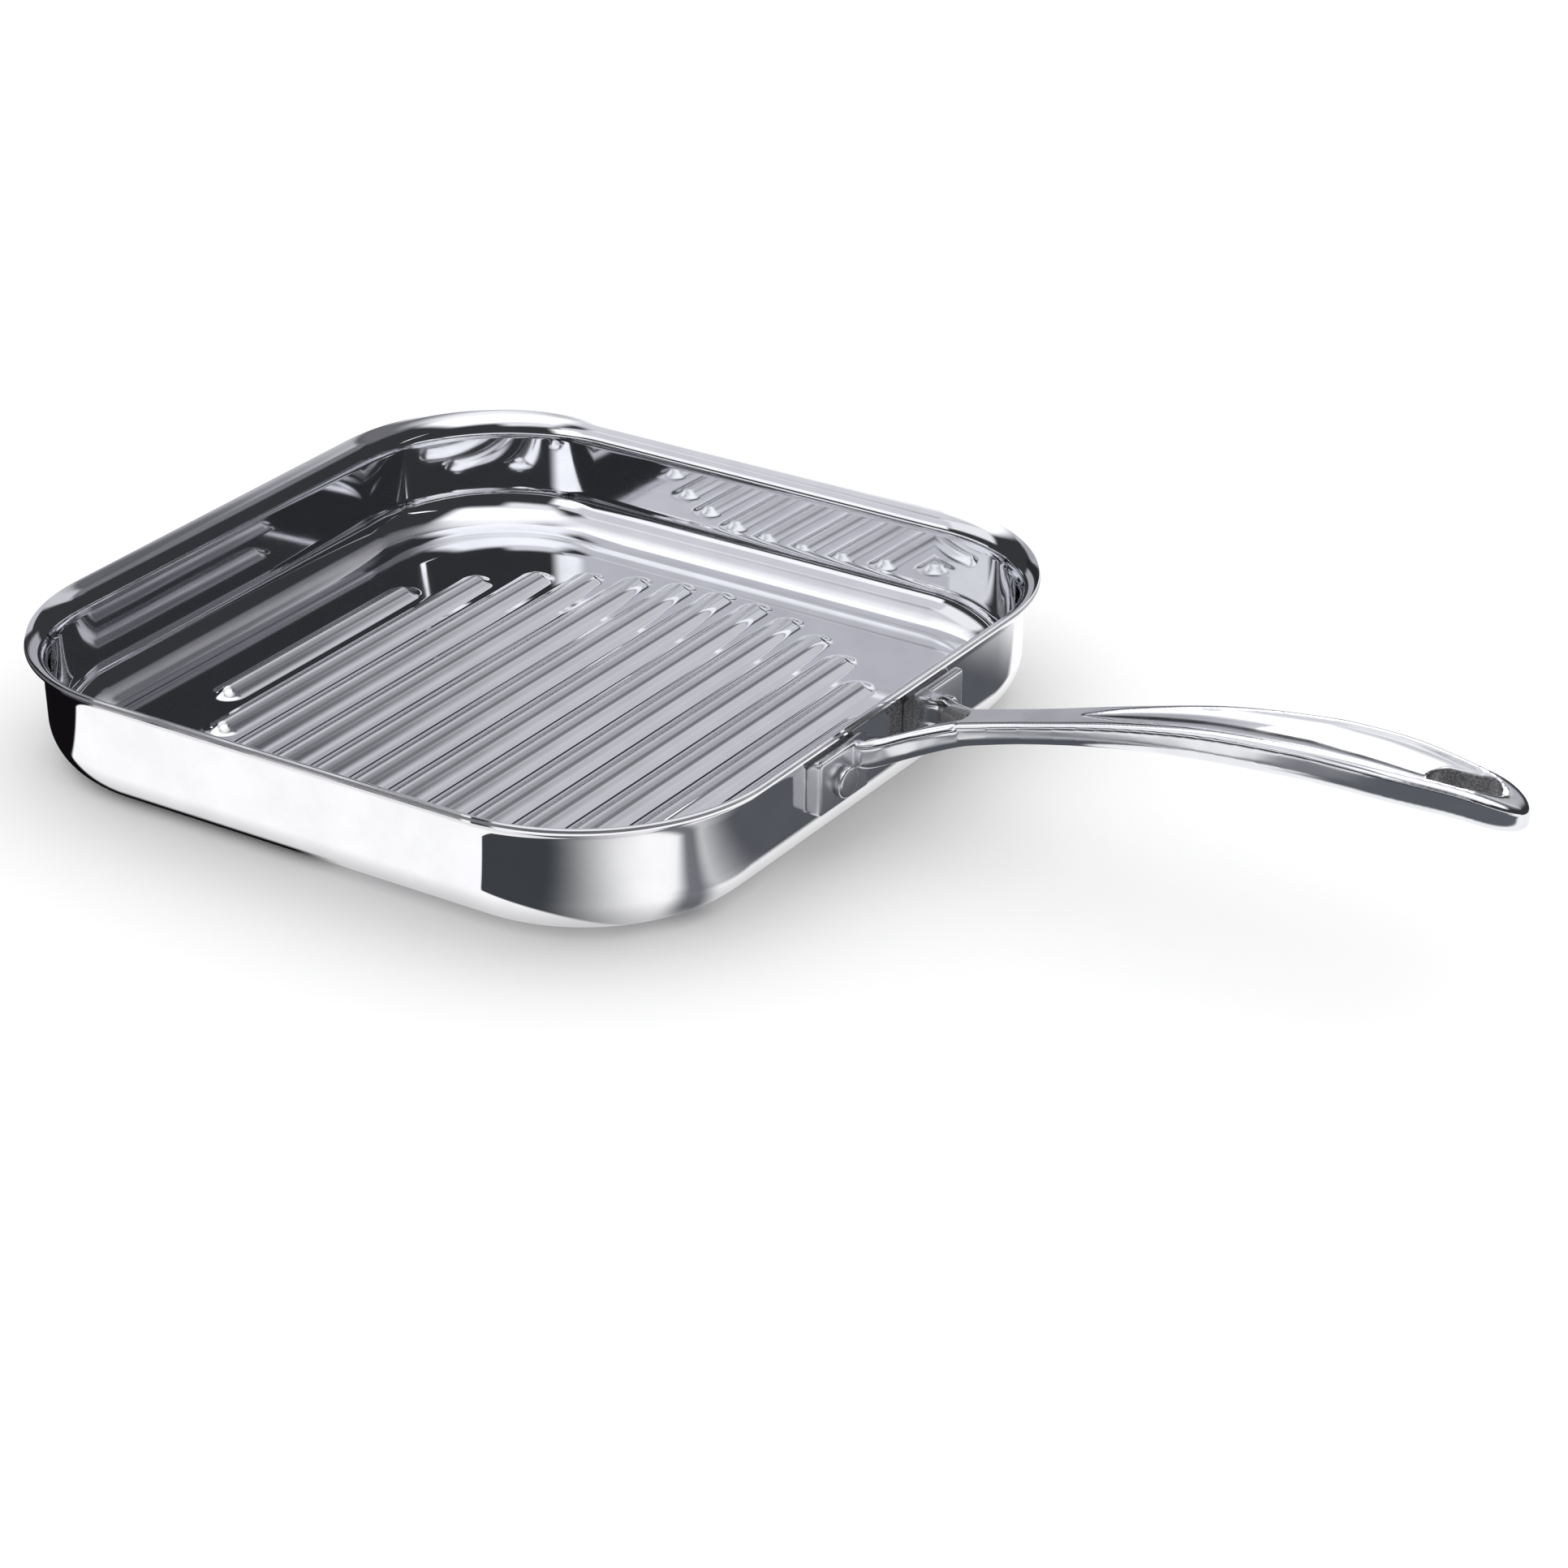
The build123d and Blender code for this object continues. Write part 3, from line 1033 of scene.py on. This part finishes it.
def corner_shade_mask(tree, x, y, reach):
    """Mask of the curved patch of painted shade in front of the pan's front corner."""
    side = math_node(tree, "SUBTRACT", x, corner_x)
    front = math_node(tree, "ADD", y, corner_x)
    angle = math_node(tree, "DEGREES", math_node(tree, "ARCTAN2", front, side))
    leaning = math_node(tree, "MULTIPLY_ADD", y, -corner_shade_lean, x)
    drawn_in = math_node(tree, "MULTIPLY_ADD", angle, corner_shade_draw_in, reach)
    sharp = ramp_node(tree, leaning, *corner_shade_edge)
    fading = ramp_node(tree, angle, *corner_shade_fade, 1.0, 0.0)
    clear = ramp_node(tree, drawn_in, *corner_shade_reach)
    return math_node(tree, "MULTIPLY", math_node(tree, "MULTIPLY", sharp, fading), clear)


def reflected_floor(tree, x, y):
    """What the polished steel mirrors of the floor: white paper with patches of painted shade,
    darkened by a painted contact shadow close to the pan.
    """
    tone = node(tree, "ShaderNodeRGB").outputs["Color"]
    tone.default_value = (*paper_tone, 1)
    # Painted shade: dark patches on the paper that the steel mirrors, standing in for the pan's shadow
    for turn, from_x, to_x, from_y, to_y, soft_x, soft_y, shade_tone in floor_shade_patches:
        length, across = turned_node(tree, x, y, turn)
        lengthways = window_node(tree, length, from_x, to_x, soft_x)
        sideways = window_node(tree, across, from_y, to_y, soft_y)
        mask = math_node(tree, "MULTIPLY", lengthways, sideways)
        tone = tone_node(tree, mask, tone, shade_tone)
    reach = pan_reach(tree, x, y)
    # Painted shade in front of the pan's front corner, as the steel mirrors it
    tone = tone_node(tree, corner_shade_mask(tree, x, y, reach), tone, corner_shade_tone)
    # Painted contact shadow: the mirrored paper darkens close to the pan
    contact_shade = ramp_node(tree, reach, *contact_shadow_reach, contact_shadow_share, 1.0)
    shaded = node(tree, "ShaderNodeVectorMath", operation="SCALE")
    tree.links.new(tone, shaded.inputs[0])
    tree.links.new(contact_shade, shaded.inputs["Scale"])
    return shaded.outputs["Vector"]


def floor_material():
    """Matt white that turns to plain white far out, and paper with painted shade where it is mirrored.
    """
    material = bpy.data.materials.new("floor")
    material.use_nodes = True
    tree = material.node_tree
    matt = tree.nodes["Principled BSDF"]
    matt.inputs["Base Color"].default_value = (*floor_colour, 1)
    matt.inputs["Roughness"].default_value = floor_roughness
    matt.inputs["Specular IOR Level"].default_value = 0.0
    place = node(tree, "ShaderNodeNewGeometry").outputs["Position"]
    x, y, _ = axis_nodes(tree, place)
    far = node(tree, "ShaderNodeVectorMath", operation="LENGTH")
    tree.links.new(place, far.inputs[0])
    path = node(tree, "ShaderNodeLightPath")
    fade = ramp_node(tree, far.outputs["Value"], *floor_white_range)
    fade = math_node(tree, "MULTIPLY", fade, path.outputs["Is Camera Ray"])
    white = node(tree, "ShaderNodeEmission", in_Strength=1.0).outputs["Emission"]
    paper = node(tree, "ShaderNodeEmission")
    tree.links.new(reflected_floor(tree, x, y), paper.inputs["Color"])
    plain = shader_node(tree, fade, matt.outputs["BSDF"], white)
    glossy = path.outputs["Is Glossy Ray"]
    surface = shader_node(tree, glossy, plain, paper.outputs["Emission"])
    tree.links.new(surface, tree.nodes["Material Output"].inputs["Surface"])
    return material


def ground():
    """A white floor that keeps the shadow."""
    bm = bmesh.new()
    bmesh.ops.create_circle(bm, cap_ends=True, segments=floor_segments, radius=floor_reach)
    mesh = bpy.data.meshes.new("floor")
    bm.to_mesh(mesh)
    bm.free()
    floor = bpy.data.objects.new("floor", mesh)
    bpy.context.scene.collection.objects.link(floor)
    floor.data.materials.append(floor_material())


ground()


# Panels: azimuth and elevation of the middle, half width and half height, softness, tone
studio_panels = (
    (94, 40, 23, 6, 0.03, (0.74, 0.74, 0.77)),
    (64, 39, 6, 6, 0.05, (0.24, 0.24, 0.26)),
    (88, 58, 30, 12, 0.10, (0.20, 0.20, 0.215)),
    (0, 90, 20, 20, 0.20, (1.20, 1.20, 1.22)),
    (-160, 55, 22, 14, 0.12, (0.85, 0.85, 0.88)),
    (156, 52, 25, 14, 0.08, (1.50, 1.50, 1.52)),
    (126, 6, 24, 10, 0.05, (0.48, 0.48, 0.52)),
    (138, 17, 14, 5, 0.02, (0.03, 0.03, 0.035)),
    (127, 30, 16, 7, 0.02, (0.68, 0.68, 0.72)),
    (138, 28, 8, 5, 0.04, (0.48, 0.48, 0.51)),
    (-62, 68, 30, 20, 0.16, (1.60, 1.60, 1.62)),
    (-80, 43, 15, 8, 0.10, (1.05, 1.05, 1.08)),
    (-150, 30, 20, 12, 0.06, (1.10, 1.10, 1.12)),
    (-118, 28, 14, 10, 0.03, (0.80, 0.80, 0.84)),
    (-116, 16, 12, 5, 0.03, (1.30, 1.30, 1.32)),
    (-104, 20, 9, 9, 0.08, (1.60, 1.60, 1.62)),
    (-120, 1, 42, 4, 0.03, (1.10, 1.10, 1.12)),
    (-40, 1, 42, 4, 0.03, (1.10, 1.10, 1.12)),
)

# Dark room between the panels
studio_tone = (0.045, 0.047, 0.05)

# Light on the floor: its strength from above, and how much stronger it is from behind the pan
shadow_light = 1.72
shadow_light_slope = 0.6

# Softbox over the handle: its middle, the place that it faces, its size and its tone
dish_lamp_place = (245.0, 125.0, 190.0)
dish_lamp_aim = (290.0, 4.0, 67.0)
dish_lamp_size = (120.0, 130.0)
dish_lamp_tone = 1.6

# Least share of a direction towards a panel, so that what lies behind stays out of its mask
least_ahead = 1e-3


# Surroundings
def dot_node(tree, socket, vector):
    """The dot product of a direction with a fixed vector."""
    made = node(tree, "ShaderNodeVectorMath", operation="DOT_PRODUCT")
    tree.links.new(socket, made.inputs[0])
    made.inputs[1].default_value = vector
    return made.outputs["Value"]


def panel_mask(tree, direction, azimuth, elevation, half_width, half_height, soft):
    """Mask of a flat panel far away: all angles in degrees, azimuth from +X towards +Y."""
    a, e = radians(azimuth), radians(elevation)
    centre = Vector((cos(a) * cos(e), sin(a) * cos(e), sin(e)))
    side = Vector((-sin(a), cos(a), 0))
    ahead = math_node(tree, "MAXIMUM", dot_node(tree, direction, centre), least_ahead)
    masks = []
    for axis, half in ((side, half_width), (centre.cross(side), half_height)):
        off = math_node(tree, "DIVIDE", dot_node(tree, direction, axis), ahead)
        off = math_node(tree, "ABSOLUTE", off)
        edge = tan(radians(half))
        masks.append(ramp_node(tree, off, edge - soft, edge + soft, 1.0, 0.0))
    return math_node(tree, "MULTIPLY", *masks)


def studio_node(tree, direction):
    """The tone of the dark room and its panels in each direction."""
    tone = node(tree, "ShaderNodeRGB").outputs["Color"]
    tone.default_value = (*studio_tone, 1)
    for *shape, panel_tone in studio_panels:
        tone = tone_node(tree, panel_mask(tree, direction, *shape), tone, panel_tone)
    return tone


def surroundings():
    """A dark studio with soft panels, white to the camera and an even soft dome for the floor."""
    world = bpy.data.worlds.new("studio")
    bpy.context.scene.world = world
    world.use_nodes = True
    tree = world.node_tree
    studio = tree.nodes["Background"]
    direction = node(tree, "ShaderNodeTexCoord").outputs["Generated"]
    tree.links.new(studio_node(tree, direction), studio.inputs["Color"])
    behind = dot_node(tree, direction, (-sin(camera_azimuth), cos(camera_azimuth), 0))
    strength = math_node(tree, "MULTIPLY_ADD", behind, shadow_light_slope, shadow_light)
    dome = node(tree, "ShaderNodeBackground")
    tree.links.new(strength, dome.inputs["Strength"])
    white = node(tree, "ShaderNodeBackground", in_Strength=1.0).outputs["Background"]
    path = node(tree, "ShaderNodeLightPath")
    diffuse = path.outputs["Is Diffuse Ray"]
    lit = shader_node(tree, diffuse, studio.outputs["Background"], dome.outputs["Background"])
    shown = shader_node(tree, path.outputs["Is Camera Ray"], lit, white)
    tree.links.new(shown, tree.nodes["World Output"].inputs["Surface"])


def dish_lamp():
    """A softbox above the handle that only its polished faces mirror."""
    light = bpy.data.lights.new("dish_lamp", "AREA")
    light.shape = "RECTANGLE"
    light.size, light.size_y = [side * MM for side in dish_lamp_size]
    light.energy = dish_lamp_tone * pi * light.size * light.size_y
    light.use_shadow = False
    lamp = bpy.data.objects.new("dish_lamp", light)
    bpy.context.scene.collection.objects.link(lamp)
    place = Vector(dish_lamp_place)
    lamp.location = place * MM
    lamp.rotation_euler = (Vector(dish_lamp_aim) - place).to_track_quat("-Z", "Y").to_euler()
    lamp.visible_camera = False
    lamp.visible_diffuse = False


dish_lamp()
surroundings()
bpy.context.scene.view_settings.view_transform = "Standard"
